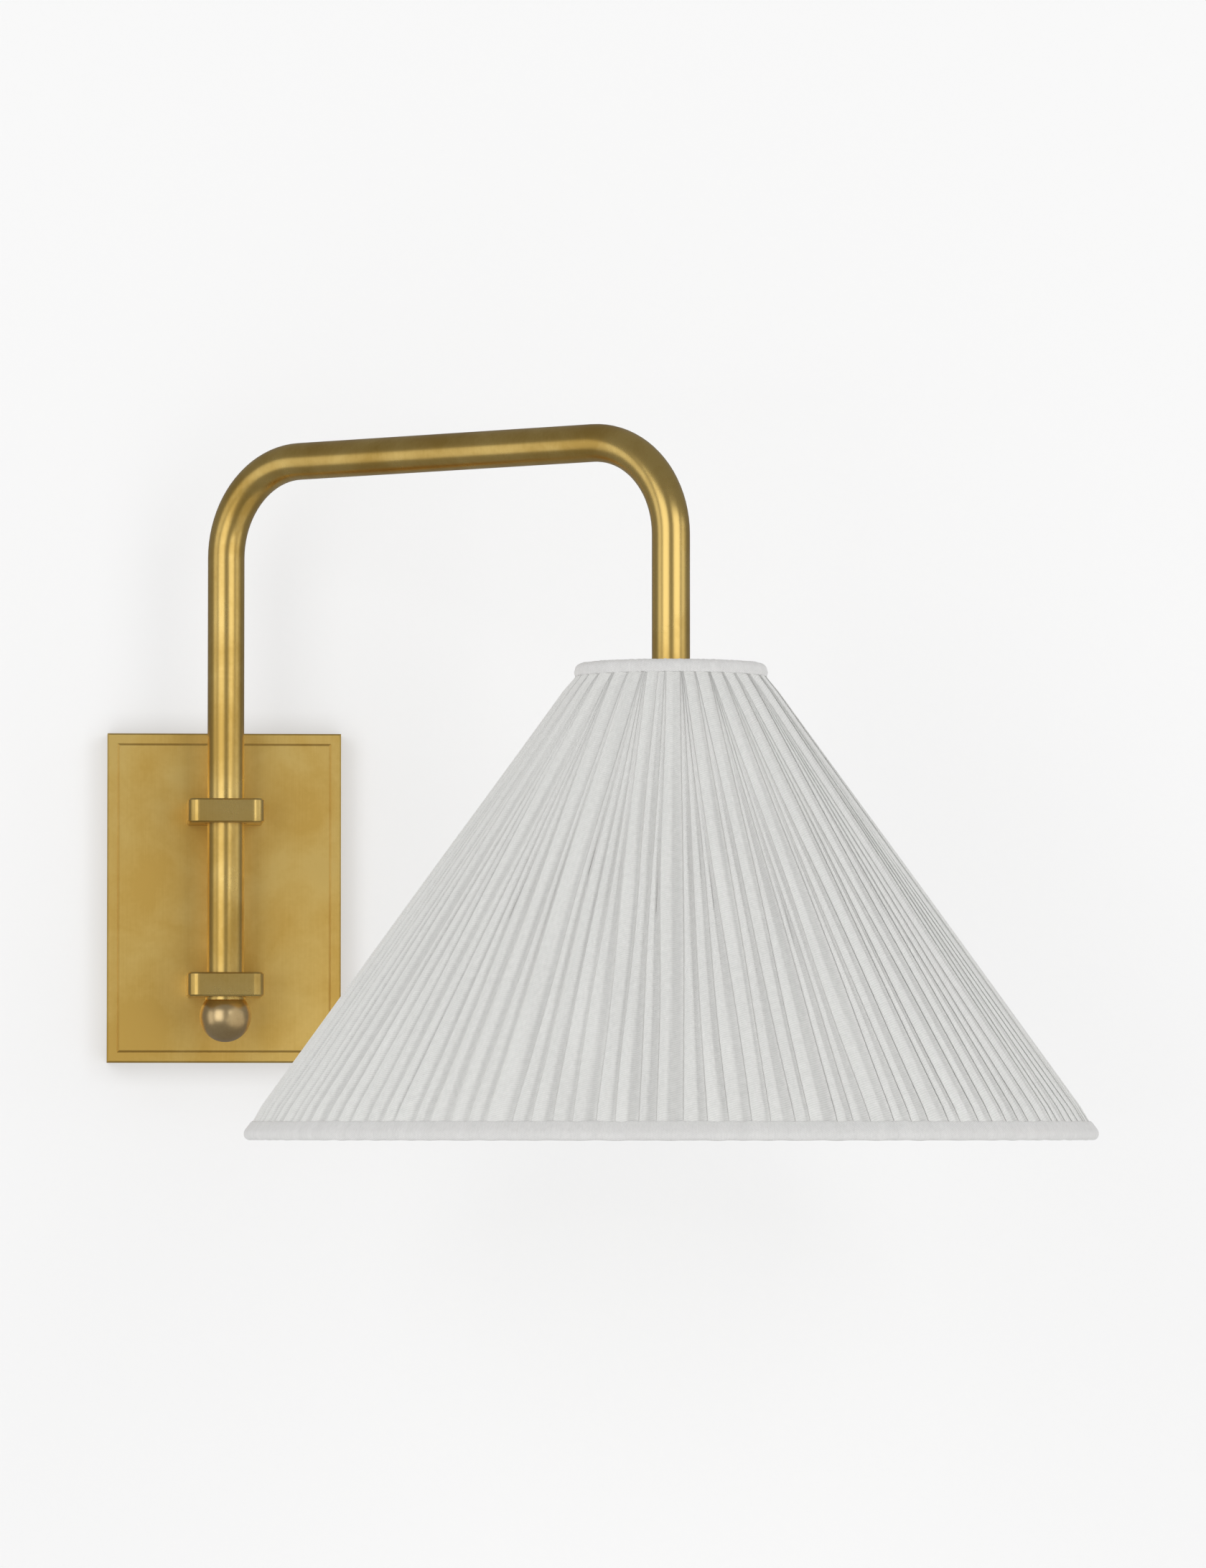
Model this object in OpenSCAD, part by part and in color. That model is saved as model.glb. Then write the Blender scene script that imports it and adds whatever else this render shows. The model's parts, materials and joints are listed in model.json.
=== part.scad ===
// Swing arm wall sconce. A hollow wall plate carries two knuckles. A bent tube arm turns in
// them, and a pleated cone shade hangs over the lamp socket at the arm's dropped end.
// Millimetres. The origin is the centre of the wall plate's rear face, on the wall.
// +Z is up, +X is to the right seen from the room, and -Y points out from the wall.

/* [Wall plate] */
// Width of the wall plate
plate_w = 122; // [116:1:134]
// Height of the wall plate
plate_h = 172; // [166:1:190]
// Depth from the wall to the face of the border
plate_depth = 18; // [16:0.5:24]
// Width of the stepped border round the raised panel
border_w = 5.3; // [4:0.1:8]
// How far the panel stands above the border
panel_raise = 1.5; // [0.8:0.1:2.5]
// Thickness of the plate's metal
plate_wall = 1.8; // [1.5:0.1:2.2]

/* [Arm] */
// Outer diameter of the arm tube
tube_d = 19; // [18:0.1:20]
// Wall thickness of the arm tube
tube_wall = 1.5; // [1.2:0.1:2]
// Distance from the wall to the swing axis
axis_out = 53; // [50:0.5:60]
// Distance between the arm's two upright legs, centre to centre
arm_len = 283; // [275:1:320]
// Height of the level tube's centre above the plate's centre
arm_rise = 223.4; // [200:0.1:260]
// Radius of the bends, to the tube's centre
bend_r = 48; // [35:1:60]
// Swing of the stored arm, measured out from the wall plane
rest_swing = 39.8; // [35:0.1:145]
// Smallest swing, with the shade close to the wall on the right
swing_min = 35; // [35:1:60]
// Largest swing, with the shade close to the wall on the left
swing_max = 145; // [120:1:145]

/* [Knuckles] */
// Width of a knuckle block
knuckle_w = 39.5; // [34:0.5:44]
// Height of a knuckle block
knuckle_h = 12.4; // [11:0.1:16]
// How far a knuckle reaches in front of the swing axis
knuckle_nose = 16; // [14:0.5:20]
// Radius of a knuckle's front corners
knuckle_r = 6; // [2:0.5:9]
// Height of the upper knuckle's centre
upper_z = 43.9; // [35:0.1:60]
// Height of the lower knuckle's centre
lower_z = -45.9; // [-60:0.1:-35]

/* [Finial] */
// Diameter of the ball under the lower knuckle
ball_d = 26.6; // [24:0.2:30]
// Diameter of the thin washer above the ball
collar_d = 20.8; // [20:0.1:23]

/* [Shade] */
// Height of the shade's top edge above the plate's centre
shade_top_z = 109; // [100:0.5:115]
// Outer radius of the cover at its top edge
shade_top_r = 43.6; // [40:0.5:60]
// Half angle of the cone
shade_angle = 35.83; // [30:0.1:36]
// Length of the cover down the slope
shade_slant = 285.8; // [240:0.1:287]
// Number of upright wires in the shade frame
rib_count = 8; // [6:1:12]
// Depth of the bottom binding, down the slope
bottom_tape = 9.6; // [6:0.1:14]
// Depth of the top binding, down the slope
top_tape = 6.2; // [5:0.1:10]

/* [Socket] */
// Outer diameter of the socket shell
socket_d = 36; // [34:0.5:40]
// Diameter of the bulb's globe
bulb_d = 60; // [45:1:65]

/* [Hidden] */
$fn = 64;

brass = [0.66, 0.50, 0.28];
steel = [0.72, 0.72, 0.70];
bronze = [0.42, 0.30, 0.18];
silk = [0.86, 0.86, 0.84];
tape = [0.84, 0.84, 0.82];
white_coat = [0.90, 0.90, 0.88];
plastic = [0.13, 0.12, 0.11];
earth_green = [0.2, 0.5, 0.25];

eps = 0.01;
tube_r = tube_d / 2;
bore_r = tube_r - tube_wall;
front_y = -(plate_depth + panel_raise);
edge = 0.8;               // small bevel on the plate and the knuckles
panel_slope = 1.1;        // width of the panel's bevelled edge

// Strap and plate fixings
strap_w = 24;
strap_t = 1.8;
strap_gap = 3.2;          // between a strap tab and the inside of the plate
tab_len = 13;
slot_w = 5;
slot_len = 16;
box_spacing = 88.9;       // screw spacing of a wall box
grub_r = 2;
grub_y = -8;
ground_z = -26;
ground_r = 2;

// Knuckle hardware
bush_r = 11;
bush_fit = 0.05;          // running clearance between tube and bush
knuckle_screw_x = 12;
knuckle_screw_r = 2;
knuckle_screw_len = 16;
lead_r = 2.5;
lead_hole_r = 3.25;
stop_r = 2;
dog_r = 1.5;
slot_play = 0.3;

// Wiring inside the plate
core_r = 1.1;
lead_end_y = -12;
run_y = -8.5;             // plane that the wires and connectors lie in
nut_x = 30;
nut_mouth_z = 12;
wire_nut_len = 20;

// Arm
wire_window_h = 7;
stop_margin = 1.5;        // degrees of play beyond each end of the swing
foot_plug_h = 4;          // the plug ends below the stop screw's dog
foot_gap = 0.4;
tube_foot = lower_z - knuckle_h / 2 - foot_gap;
collar_t = 1.2;
drop_end = 99;            // foot of the arm's dropped leg
flange_t = 1.5;
plug_r = bore_r;
nipple_r = 4.85;
nipple_bore_r = 3.5;

// Stack under the dropped leg
hub_top = drop_end - flange_t;
hub_t = 1.6;
hub_r = 16;
nut_top = hub_top - hub_t;
nut_t = 3;
nut_flats = 14;
cup_top = nut_top - nut_t;
cup_h = 22;
cup_wall = 1;
shell_wall = 0.8;
liner_wall = 0.6;
shell_top = cup_top - cup_h + 5;
shell_foot = shell_top - 40;
liner_r = socket_d / 2 - shell_wall;
block_r = liner_r - liner_wall;
block_top = shell_top - 2;
block_h = 16;
contact_t = 1;
thread_r = 13.9;
thread_wall = 0.5;
knob_z = block_top - block_h / 2;
knob_r = 6.5;
spindle_r = 2;
bulb_top = block_top - block_h - contact_t;
cap_r = 13;
cap_h = 23;
globe_z = bulb_top - 78;

// Shade section, worked in slope coordinates: down the slope, then out from the cover
cover_t = 1.2;
tape_t = 0.7;
ring_r = 1.5;
rib_r = 1.2;
lining_t = 0.6;
spider_r = 1.3;
ring_out = -(cover_t + ring_r);
rib_out = -(cover_t + rib_r);
lining_out = -(cover_t + 2 * rib_r);
inner_tape_out = lining_out - lining_t;

function slope_r(down, out) =
    shade_top_r + down * sin(shade_angle) + out * cos(shade_angle);
function slope_z(down, out) =
    shade_top_z - down * cos(shade_angle) + out * sin(shade_angle);
function slope_point(down, out) = [slope_r(down, out), slope_z(down, out)];

// Stands the arm's own frame on the swing axis: its X runs along the arm
module at_arm() {
    translate([0, -axis_out, 0]) rotate([0, 0, -rest_swing]) children();
}

// The arm's frame, moved to the axis of its dropped leg
module at_drop() {
    at_arm() translate([arm_len, 0, 0]) children();
}

// Round bar from one point to another
module bar(from, to, r) {
    run = to - from;
    length = norm(run);
    translate(from) rotate([0, acos(run.z / length), atan2(run.y, run.x)]) cylinder(h = length, r = r);
}

// Point on the cubic curve with four control points
function curve_point(c, t) =
    pow(1 - t, 3) * c[0] + 3 * pow(1 - t, 2) * t * c[1] + 3 * (1 - t) * t * t * c[2] + pow(t, 3) * c[3];

function unit(v) = v / norm(v);

// Carries a side vector along a list of directions, keeping it square to each of them
function carried(dirs, side, i = 0) =
    i == len(dirs) ? [] : let (next = unit(side - (side * dirs[i]) * dirs[i]))
        concat([next], carried(dirs, next, i + 1));

// Insulated wire along a curve with four control points
module wire(control, side = [1, 0, 0]) {
    steps = 18;
    sides = 8;
    centres = [for (i = [0 : steps]) curve_point(control, i / steps)];
    dirs = [for (i = [0 : steps]) unit(centres[min(i + 1, steps)] - centres[max(i - 1, 0)])];
    across = carried(dirs, side);
    points = [for (i = [0 : steps], k = [0 : sides - 1]) let (a = 360 * k / sides)
        centres[i] + core_r * (cos(a) * across[i] + sin(a) * cross(dirs[i], across[i]))];
    walls = [for (i = [0 : steps - 1], k = [0 : sides - 1])
        let (a = i * sides + k, b = i * sides + (k + 1) % sides)
        each [[a, a + sides, b], [b, a + sides, b + sides]]];
    start_cap = [for (k = [0 : sides - 1]) k];
    end_cap = [for (k = [sides - 1 : -1 : 0]) steps * sides + k];
    polyhedron(points, concat(walls, [start_cap, end_cap]));
}

// Box centred in X and Z that reaches out from y = 0, with its front edges bevelled
module bevelled_box(w, h, depth, bevel) {
    hull() {
        translate([-w / 2, -depth + bevel, -h / 2]) cube([w, depth - bevel, h]);
        translate([-w / 2 + bevel, -depth, -h / 2 + bevel]) cube([w - 2 * bevel, depth, h - 2 * bevel]);
    }
}

module box_from_wall(w, h, depth) {
    translate([-w / 2, -depth, -h / 2]) cube([w, depth + 1, h]);
}

// Hole or pin along Y
module y_bar(x, z, r, y_from, y_to) {
    translate([x, y_from, z]) rotate([-90, 0, 0]) cylinder(h = y_to - y_from, r = r);
}

// The arm's centre line as a solid rod, from one leg's foot to the other's
module arm_rod(r, left_foot, right_foot) {
    shoulder = arm_rise - bend_r;
    translate([0, 0, left_foot]) cylinder(h = shoulder - left_foot, r = r);
    translate([bend_r, 0, shoulder]) rotate([90, 0, 0]) rotate([0, 0, 90]) quarter_bend(r);
    translate([bend_r, 0, arm_rise]) rotate([0, 90, 0]) cylinder(h = arm_len - 2 * bend_r, r = r);
    translate([arm_len - bend_r, 0, shoulder]) rotate([90, 0, 0]) quarter_bend(r);
    translate([arm_len, 0, right_foot]) cylinder(h = shoulder - right_foot, r = r);
}

module quarter_bend(r) {
    rotate_extrude(angle = 90) translate([bend_r, 0]) circle(r = r);
}

// Part of a tube wall between two angles, for cutting slots round the tube
module wall_sector(from_angle, to_angle, z_mid, height) {
    rotate([0, 0, from_angle]) rotate_extrude(angle = to_angle - from_angle)
        translate([bore_r - 1, z_mid - height / 2]) square([tube_wall + 2, height]);
}

// Stepped rectangular cover, open at the back
module backplate() {
    pocket = border_w + plate_wall;
    color(brass) difference() {
        union() {
            bevelled_box(plate_w, plate_h, plate_depth, edge);
            bevelled_box(plate_w - 2 * border_w, plate_h - 2 * border_w, -front_y, panel_slope);
        }
        box_from_wall(plate_w - 2 * plate_wall, plate_h - 2 * plate_wall, plate_depth - plate_wall);
        box_from_wall(plate_w - 2 * pocket, plate_h - 2 * pocket, -front_y - plate_wall);
        for (z = [upper_z, lower_z], x = [-knuckle_screw_x, knuckle_screw_x]) {
            y_bar(x, z, knuckle_screw_r, front_y - 1, 0);
        }
        y_bar(0, upper_z, lead_hole_r, front_y - 1, 0);
        y_bar(0, lower_z, stop_r + 0.5, front_y - 1, 0);
        translate([0, grub_y, -plate_h]) cylinder(h = 2 * plate_h, r = grub_r);
    }
}

// Steel strap that screws to the wall box; its two tabs take the plate's grub screws
module mounting_strap() {
    reach = plate_h / 2 - plate_wall - strap_gap;
    color(steel) difference() {
        union() {
            translate([-strap_w / 2, -strap_t, -reach]) cube([strap_w, strap_t, 2 * reach]);
            for (z = [-reach, reach - strap_t]) {
                translate([-strap_w / 2, -tab_len, z]) cube([strap_w, tab_len, strap_t]);
            }
        }
        for (side = [-1, 1]) {
            slot_through(side * box_spacing / 2);
        }
        y_bar(0, ground_z, ground_r, -strap_t - 1, 1);
    }
}

// Slot along Z for a wall box screw
module slot_through(z) {
    half = (slot_len - slot_w) / 2;
    for (end = [-half, half]) {
        y_bar(0, z + end, slot_w / 2, -strap_t - 1, 1);
    }
    translate([-slot_w / 2, -strap_t - 1, z - half]) cube([slot_w, strap_t + 2, 2 * half]);
}

// Headless screws through the plate's top and bottom edges
module plate_grub_screws() {
    color(steel) for (side = [0, 1]) {
        mirror([0, 0, side]) translate([0, grub_y, plate_h / 2 - plate_wall - strap_gap])
            difference() {
                cylinder(h = plate_wall + strap_gap, r = grub_r);
                translate([0, 0, plate_wall + strap_gap - 1.6]) cylinder(h = 2, r = 1, $fn = 6);
            }
    }
}

module ground_screw() {
    seat = -strap_t - 2 * core_r;
    color(earth_green) {
        y_bar(0, ground_z, ground_r, seat, 0);
        difference() {
            y_bar(0, ground_z, 4.2, seat - 2.4, seat);
            translate([-5, seat - 3.4, ground_z - 0.5]) cube([10, 2, 1]);
        }
    }
}

// Connector cap with its mouth up
module wire_nut(x, mouth_z) {
    translate([x, run_y, mouth_z - wire_nut_len]) difference() {
        cylinder(h = wire_nut_len, r1 = 3.6, r2 = 6);
        translate([0, 0, wire_nut_len - 9]) cylinder(h = 10, r = 3.6);
    }
}

module wire_nuts() {
    color([0.85, 0.35, 0.1]) for (x = [-nut_x, 0, nut_x]) {
        wire_nut(x, nut_mouth_z);
    }
}

// Wire from the lead's end down into one of the outer connectors
module side_wire(side) {
    wire([[side * 1.25, lead_end_y, upper_z + 0.8], [side * 1.25, lead_end_y + 10, upper_z + 0.8],
          [side * nut_x, run_y, 44], [side * nut_x, run_y, nut_mouth_z - 7]]);
}

module line_wire() {
    color(plastic) side_wire(-1);
}

module neutral_wire() {
    color(white_coat) side_wire(1);
}

module earth_wire() {
    color(earth_green) wire([[0, lead_end_y, upper_z - 1.3], [0, lead_end_y + 8, upper_z - 1.3],
        [-1.3, run_y, 34], [-1.3, run_y, nut_mouth_z - 7]]);
}

// Short earth wire from its connector to a ring under the ground screw
module earth_pigtail() {
    ring_y = -strap_t - 2 * core_r;
    color(earth_green) {
        wire([[1.3, run_y, nut_mouth_z - 7], [1.3, run_y, 42], [32, run_y, ground_z + 3],
              [3, ring_y + core_r, ground_z]], [0, 1, 0]);
        difference() {
            y_bar(0, ground_z, 4, ring_y, -strap_t);
            y_bar(0, ground_z, ground_r, ring_y - 1, 0);
        }
    }
}

// Sheathed lead from the plate to the swing axis, in the upper knuckle's channel
module supply_lead() {
    color(plastic) {
        y_bar(0, upper_z, lead_r, -axis_out, lead_end_y);
        translate([0, -axis_out, upper_z]) sphere(r = lead_r);
    }
}

// Block with rounded front corners and a bush bore, bolted to the plate from behind
module knuckle(z_mid, channel_r) {
    nose = -axis_out - knuckle_nose;
    color(brass) translate([0, 0, z_mid]) difference() {
        hull() {
            for (inset = [0, edge]) {
                height = knuckle_h - 2 * (edge - inset);
                for (side = [-1, 1]) {
                    translate([side * (knuckle_w / 2 - knuckle_r), nose + knuckle_r, -height / 2])
                        cylinder(h = height, r = knuckle_r - inset, $fn = 48);
                }
                translate([-knuckle_w / 2 + inset, -axis_out, -height / 2])
                    cube([knuckle_w - 2 * inset, axis_out + front_y, height]);
            }
        }
        translate([0, -axis_out, -knuckle_h]) cylinder(h = 2 * knuckle_h, r = bush_r);
        for (x = [-knuckle_screw_x, knuckle_screw_x]) {
            y_bar(x, 0, knuckle_screw_r, front_y - knuckle_screw_len, 0);
        }
        y_bar(0, 0, channel_r, -axis_out, 0);
    }
}

module upper_knuckle() {
    knuckle(upper_z, lead_hole_r);
}

module lower_knuckle() {
    knuckle(lower_z, stop_r);
}

// Round-head screws from inside the plate into the knuckles
module knuckle_screws() {
    seat = front_y + plate_wall;
    color(steel) for (z = [upper_z, lower_z], x = [-knuckle_screw_x, knuckle_screw_x]) {
        y_bar(x, z, knuckle_screw_r, front_y - knuckle_screw_len + 2, seat);
        difference() {
            y_bar(x, z, 3.8, seat, seat + 2.6);
            translate([x - 5, seat + 1.6, z - 0.5]) cube([10, 2, 1]);
        }
    }
}

// Bronze bush in a knuckle, with one side hole for what reaches the tube
module bush(z_mid, hole_r) {
    color(bronze) translate([0, 0, z_mid]) difference() {
        translate([0, -axis_out, -knuckle_h / 2]) cylinder(h = knuckle_h, r = bush_r);
        translate([0, -axis_out, -knuckle_h]) cylinder(h = 2 * knuckle_h, r = tube_r + bush_fit);
        y_bar(0, 0, hole_r, -axis_out, 0);
    }
}

module upper_bush() {
    bush(upper_z, lead_hole_r);
}

module lower_bush() {
    bush(lower_z, dog_r + 0.1);
}

// Set screw whose dog rides in the tube's slot, carries the arm and limits the swing
module swing_stop_screw() {
    shoulder = -axis_out + bush_r;
    color(steel) {
        y_bar(0, lower_z, stop_r, shoulder, front_y - 2);
        y_bar(0, lower_z, dog_r, -axis_out + bore_r - 0.2, shoulder);
    }
}

// Bent tube with a slot for the stop screw and a window for the lead
module arm_tube() {
    dog_angle = asin(dog_r / bore_r) + stop_margin;
    lead_angle = asin(lead_r / bore_r) + stop_margin;
    color(brass) at_arm() difference() {
        arm_rod(tube_r, tube_foot, drop_end);
        arm_rod(bore_r, tube_foot - 1, drop_end - 1);
        wall_sector(90 + swing_min - dog_angle, 90 + swing_max + dog_angle, lower_z,
                    2 * (dog_r + slot_play));
        wall_sector(90 + swing_min - lead_angle, 90 + swing_max + lead_angle, upper_z,
                    wire_window_h);
    }
}

// Lead along the inside of the arm, from the swing axis to the socket's terminals
module arm_lead() {
    color(plastic) at_arm() arm_rod(lead_r, upper_z + lead_r + slot_play, block_top + 3);
}

// Plug brazed into the tube's foot, with a stud for the ball
module finial_stud() {
    color(brass) at_arm() {
        translate([0, 0, tube_foot]) cylinder(h = foot_plug_h, r = plug_r);
        translate([0, 0, tube_foot - 13]) cylinder(h = 13, r = 3);
    }
}

module finial_washer() {
    color(brass) at_arm() translate([0, 0, tube_foot - collar_t]) difference() {
        cylinder(h = collar_t, r = collar_d / 2);
        translate([0, 0, -1]) cylinder(h = collar_t + 2, r = 3.2);
    }
}

// Ball with a flat top under the washer and a tapped hole for the stud
module ball_finial() {
    ball_top = tube_foot - collar_t;
    flat_r = 10.1;
    ball_z = ball_top - sqrt(pow(ball_d / 2, 2) - pow(flat_r, 2));
    color(brass) at_arm() difference() {
        translate([0, 0, ball_z]) sphere(d = ball_d);
        translate([0, 0, ball_top]) cylinder(h = ball_d, r = ball_d);
        translate([0, 0, tube_foot - 13]) cylinder(h = 13, r = 3);
    }
}

// Flanged plug in the foot of the dropped leg, tapped for the nipple
module drop_bushing() {
    color(brass) at_drop() difference() {
        union() {
            translate([0, 0, hub_top]) cylinder(h = flange_t, r = tube_r);
            translate([0, 0, drop_end]) cylinder(h = 10, r = plug_r);
        }
        translate([0, 0, hub_top - 1]) cylinder(h = 20, r = nipple_r);
    }
}

// Hollow threaded nipple that carries the shade and the socket
module drop_nipple() {
    foot = cup_top - 8;
    color(steel) at_drop() translate([0, 0, foot]) difference() {
        cylinder(h = drop_end + 8 - foot, r = nipple_r);
        translate([0, 0, -1]) cylinder(h = drop_end + 10 - foot, r = nipple_bore_r);
    }
}

module lock_nut() {
    color(steel) at_drop() translate([0, 0, cup_top]) difference() {
        cylinder(h = nut_t, r = nut_flats / sqrt(3), $fn = 6);
        translate([0, 0, -1]) cylinder(h = nut_t + 2, r = nipple_r);
    }
}

// Cap of the socket: a shallow dome over a straight skirt
module socket_cup() {
    skirt = 12;
    outer = socket_d / 2 + cup_wall;
    color(brass) at_drop() translate([0, 0, cup_top]) difference() {
        union() {
            translate([0, 0, -cup_h]) cylinder(h = skirt, r = outer);
            translate([0, 0, -cup_h + skirt]) cylinder(h = cup_h - skirt, r1 = outer, r2 = 9);
        }
        translate([0, 0, -cup_h - 1]) cylinder(h = skirt + 1, r = outer - cup_wall);
        translate([0, 0, -cup_h + skirt - eps])
            cylinder(h = cup_h - skirt - 1.2, r1 = outer - cup_wall, r2 = 8.4);
        translate([0, 0, -cup_h]) cylinder(h = cup_h + 1, r = nipple_r);
    }
}

// Hole for the switch spindle, out along the arm's own X
module spindle_hole(r) {
    translate([0, 0, knob_z]) rotate([0, 90, 0]) cylinder(h = socket_d, r = r);
}

module socket_shell() {
    color(brass) at_drop() difference() {
        translate([0, 0, shell_foot]) cylinder(h = shell_top - shell_foot, r = socket_d / 2);
        translate([0, 0, shell_foot - 1]) cylinder(h = shell_top - shell_foot + 2, r = liner_r);
        spindle_hole(spindle_r + 1);
    }
}

// Fibre liner between the shell and the live parts
module socket_liner() {
    color(plastic) at_drop() difference() {
        translate([0, 0, shell_foot + 1]) cylinder(h = shell_top - shell_foot - 1, r = liner_r);
        translate([0, 0, shell_foot]) cylinder(h = shell_top - shell_foot + 2, r = block_r);
        spindle_hole(spindle_r + 1);
    }
}

// Moulded block that holds the switch and the contacts
module socket_block() {
    color(plastic) at_drop() difference() {
        translate([0, 0, block_top - block_h]) cylinder(h = block_h, r = block_r);
        translate([8, 0, 0]) spindle_hole(spindle_r + 0.05);
    }
}

module socket_screw_shell() {
    top = block_top - block_h;
    foot = shell_foot + 2;
    color(brass) at_drop() translate([0, 0, foot]) difference() {
        cylinder(h = top - foot, r = thread_r);
        translate([0, 0, -1]) cylinder(h = top - foot + 2, r = thread_r - thread_wall);
    }
}

module centre_contact() {
    color(brass) at_drop() translate([0, 0, block_top - block_h - contact_t])
        cylinder(h = contact_t, r = 4);
}

// Turn knob with two flats, on its spindle
module switch_knob() {
    start = socket_d / 2 + 1.6;
    color(plastic) at_drop() translate([0, 0, knob_z]) rotate([0, 90, 0]) {
        translate([0, 0, 8.5]) cylinder(h = start - 8.5, r = spindle_r);
        translate([0, 0, start]) cylinder(h = 3, r = knob_r);
        translate([0, 0, start + 3]) intersection() {
            cylinder(h = 10, r = knob_r);
            translate([-2, -knob_r, 0]) cube([4, 2 * knob_r, 10]);
        }
    }
}

// Screw cap of the bulb, with its centre tip
module bulb_cap() {
    color(steel) at_drop() {
        translate([0, 0, bulb_top - cap_h]) cylinder(h = cap_h - 1.5, r = cap_r);
        translate([0, 0, bulb_top - 1.5]) cylinder(h = 1.5, r = 5);
    }
}

// Solid bulb envelope, drawn smaller by a wall thickness for its hollow
module globe_shape(shrink) {
    neck_top = bulb_top - cap_h;
    shoulder_r = bulb_d / 2 * cos(30);
    shoulder_z = globe_z + bulb_d / 2 * sin(30);
    translate([0, 0, globe_z]) sphere(r = bulb_d / 2 - shrink);
    translate([0, 0, shoulder_z]) cylinder(h = neck_top - shoulder_z - 3,
        r1 = shoulder_r - shrink, r2 = cap_r - shrink);
    translate([0, 0, neck_top - 3 - eps]) cylinder(h = 3 + eps, r = cap_r - shrink);
}

module bulb_globe() {
    color([0.97, 0.96, 0.92]) at_drop() difference() {
        globe_shape(0);
        globe_shape(0.9);
    }
}

// Three spokes of the fitter, out from the hub to the top ring
module spokes(r) {
    hub_z = hub_top - hub_t / 2;
    for (turn = [0, 120, 240]) {
        rotate([0, 0, turn + 60]) bar([hub_r - 4, 0, hub_z],
            [slope_r(ring_r, ring_out), 0, slope_z(ring_r, ring_out)], r);
    }
}

module shade_spider() {
    color(brass) at_drop() difference() {
        union() {
            translate([0, 0, nut_top]) cylinder(h = hub_t, r = hub_r);
            spokes(spider_r);
        }
        translate([0, 0, nut_top - 1]) cylinder(h = hub_t + 2, r = nipple_r);
        translate([0, 0, hub_top]) cylinder(h = 6, r = tube_r + 2);
        translate([0, 0, nut_top - 6]) cylinder(h = 6, r = tube_r);
        ring_wire(ring_r);
    }
}

// Wire ring of the shade frame, at a distance down the slope
module ring_wire(down) {
    rotate_extrude($fn = 96) translate(slope_point(down, ring_out)) circle(r = ring_r, $fn = 24);
}

module shade_top_ring() {
    color(white_coat) at_drop() ring_wire(ring_r);
}

module shade_bottom_ring() {
    color(white_coat) at_drop() ring_wire(shade_slant - ring_r);
}

module shade_ribs() {
    top = slope_point(ring_r, rib_out);
    foot = slope_point(shade_slant - ring_r, rib_out);
    color(white_coat) at_drop() difference() {
        for (i = [0 : rib_count - 1]) {
            rotate([0, 0, (i + 0.5) * 360 / rib_count]) bar([top.x, 0, top.y], [foot.x, 0, foot.y], rib_r);
        }
        ring_wire(ring_r);
        ring_wire(shade_slant - ring_r);
    }
}

// Cone-shaped layer of the shade between two distances down the slope
module layer(down_from, down_to, out_from, out_to) {
    rotate_extrude($fn = 96) polygon([slope_point(down_from, out_to), slope_point(down_to, out_to),
                                      slope_point(down_to, out_from), slope_point(down_from, out_from)]);
}

module shade_lining() {
    gap = 2 * ring_r + 0.2;
    color(silk) at_drop() difference() {
        layer(gap, shade_slant - gap, inner_tape_out, lining_out);
        spokes(spider_r + 0.2);
    }
}

module shade_cover() {
    color(silk) at_drop() layer(0, shade_slant, -cover_t, 0);
}

// Folded tape over an edge of the shade; side is 1 at the bottom and -1 at the top
module binding(edge_at, depth, side) {
    fold = edge_at + side * tape_t;
    back = edge_at - side * depth;
    inner = inner_tape_out;
    points = [slope_point(back, tape_t), slope_point(fold, tape_t), slope_point(fold, inner - tape_t),
              slope_point(back, inner - tape_t), slope_point(back, inner), slope_point(edge_at, inner),
              slope_point(edge_at, 0), slope_point(back, 0)];
    color(tape) rotate_extrude($fn = 96) polygon(points);
}

module top_binding() {
    at_drop() difference() {
        binding(0, top_tape, -1);
        color(tape) spokes(spider_r + 0.2);
    }
}

module bottom_binding() {
    at_drop() binding(shade_slant, bottom_tape, 1);
}

backplate();
mounting_strap();
plate_grub_screws();
ground_screw();
wire_nuts();
line_wire();
neutral_wire();
earth_wire();
earth_pigtail();
supply_lead();
upper_knuckle();
lower_knuckle();
knuckle_screws();
upper_bush();
lower_bush();
swing_stop_screw();
arm_tube();
arm_lead();
finial_stud();
finial_washer();
ball_finial();
drop_bushing();
drop_nipple();
lock_nut();
socket_cup();
socket_shell();
socket_liner();
socket_block();
socket_screw_shell();
centre_contact();
switch_knob();
bulb_cap();
bulb_globe();
shade_spider();
shade_top_ring();
shade_bottom_ring();
shade_ribs();
shade_lining();
shade_cover();
top_binding();
bottom_binding();
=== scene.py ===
"""Swing arm wall sconce: camera, light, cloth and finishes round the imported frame.
Metres, in the frame's own axes: +Z up, +X right as seen from the room, -Y out from the wall."""
import json
import math

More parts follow.
